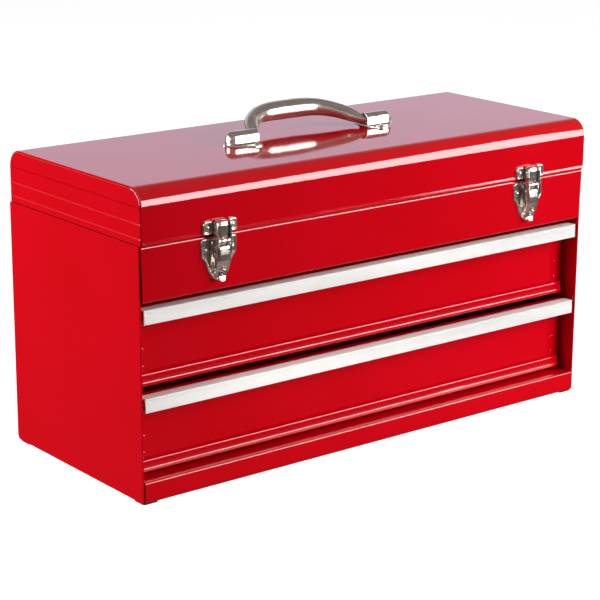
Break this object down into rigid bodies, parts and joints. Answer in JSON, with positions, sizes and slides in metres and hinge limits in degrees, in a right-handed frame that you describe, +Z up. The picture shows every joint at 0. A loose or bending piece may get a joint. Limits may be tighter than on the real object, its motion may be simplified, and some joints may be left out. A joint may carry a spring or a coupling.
{
  "type": "portable tool box with drawers",
  "caption": "Portable steel tool box with a lift-up lid, a folding bail handle, draw latches and full-width sliding drawers under a top compartment.",
  "frame": {"origin": "on the resting surface, under the middle of the whole object's footprint, handle folded back and everything shut", "axes": "+X to the right seen from the front, along the length; +Y from the drawer side towards the hinge; +Z up"},
  "size_m": [0.508, 0.2206, 0.2978],
  "materials": {
    "red_paint": "high gloss enamel on sheet steel",
    "bright_nickel": "bright nickel plating",
    "pull_aluminium": "bright extruded, finely ribbed",
    "black_rubber": "matt"
  },
  "bodies": {
    "case": {"left_side_panel": "red_paint", "right_side_panel": "red_paint", "back_panel": "red_paint", "bottom_pan": "red_paint", "front_fascia": "red_paint", "base_rail": "red_paint", "till_floor": "red_paint", "upper_runner_left": "red_paint", "upper_runner_right": "red_paint", "lower_runner_left": "red_paint", "lower_runner_right": "red_paint", "feet": "black_rubber", "hinge_leaf_case": "red_paint", "hinge_pin": "bright_nickel", "left_latch_base": "bright_nickel", "right_latch_base": "bright_nickel", "latch_base_rivets": "bright_nickel", "left_lever_pin": "bright_nickel", "right_lever_pin": "bright_nickel"},
    "lid": {"lid_wrap": "red_paint", "lid_end_left": "red_paint", "lid_end_right": "red_paint", "hinge_leaf_lid": "red_paint", "handle_bracket_left": "bright_nickel", "handle_bracket_right": "bright_nickel", "handle_rivets": "bright_nickel", "left_latch_strike": "bright_nickel", "right_latch_strike": "bright_nickel", "latch_strike_rivets": "bright_nickel"},
    "handle": {"handle_bail": "bright_nickel"},
    "upper_drawer": {"upper_drawer_front": "red_paint", "upper_drawer_tray": "red_paint", "upper_drawer_pull": "pull_aluminium", "upper_drawer_rivets": "red_paint"},
    "lower_drawer": {"lower_drawer_front": "red_paint", "lower_drawer_tray": "red_paint", "lower_drawer_pull": "pull_aluminium", "lower_drawer_rivets": "red_paint"},
    "left_lever": {"left_latch_lever": "bright_nickel", "left_hook_pin": "bright_nickel"},
    "right_lever": {"right_latch_lever": "bright_nickel", "right_hook_pin": "bright_nickel"},
    "left_hook": {"left_latch_hook": "bright_nickel"},
    "right_hook": {"right_latch_hook": "bright_nickel"}
  },
  "joints": [
    {"name": "lid_hinge", "type": "hinge", "parent": "case", "child": "lid", "pos_m": [0, 0.1081, 0.2239], "axis": [-1, 0, 0], "range_deg": [0, 100]},
    {"name": "handle_fold", "type": "hinge", "parent": "lid", "child": "handle", "pos_m": [0, -0.0003, 0.2773], "axis": [1, 0, 0], "range_deg": [0, 140]},
    {"name": "upper_drawer_slide", "type": "slide", "parent": "case", "child": "upper_drawer", "axis": [0, -1, 0], "range_m": [0, 0.15]},
    {"name": "lower_drawer_slide", "type": "slide", "parent": "case", "child": "lower_drawer", "axis": [0, -1, 0], "range_m": [0, 0.15]},
    {"name": "left_latch_lever", "type": "hinge", "parent": "case", "child": "left_lever", "pos_m": [-0.1762, -0.1066, 0.2185], "axis": [-1, 0, 0], "range_deg": [0, 120]},
    {"name": "right_latch_lever", "type": "hinge", "parent": "case", "child": "right_lever", "pos_m": [0.1802, -0.1066, 0.2185], "axis": [-1, 0, 0], "range_deg": [0, 120]},
    {"name": "left_latch_hook", "type": "hinge", "parent": "left_lever", "child": "left_hook", "pos_m": [-0.1762, -0.1058, 0.208], "axis": [1, 0, 0], "range_deg": [0, 144]},
    {"name": "right_latch_hook", "type": "hinge", "parent": "right_lever", "child": "right_hook", "pos_m": [0.1802, -0.1058, 0.208], "axis": [1, 0, 0], "range_deg": [0, 144]}
  ],
  "couplings": [
    {"joint": "left_latch_hook", "follows": "left_latch_lever", "ratio": 1.2},
    {"joint": "right_latch_hook", "follows": "right_latch_lever", "ratio": 1.2}
  ]
}
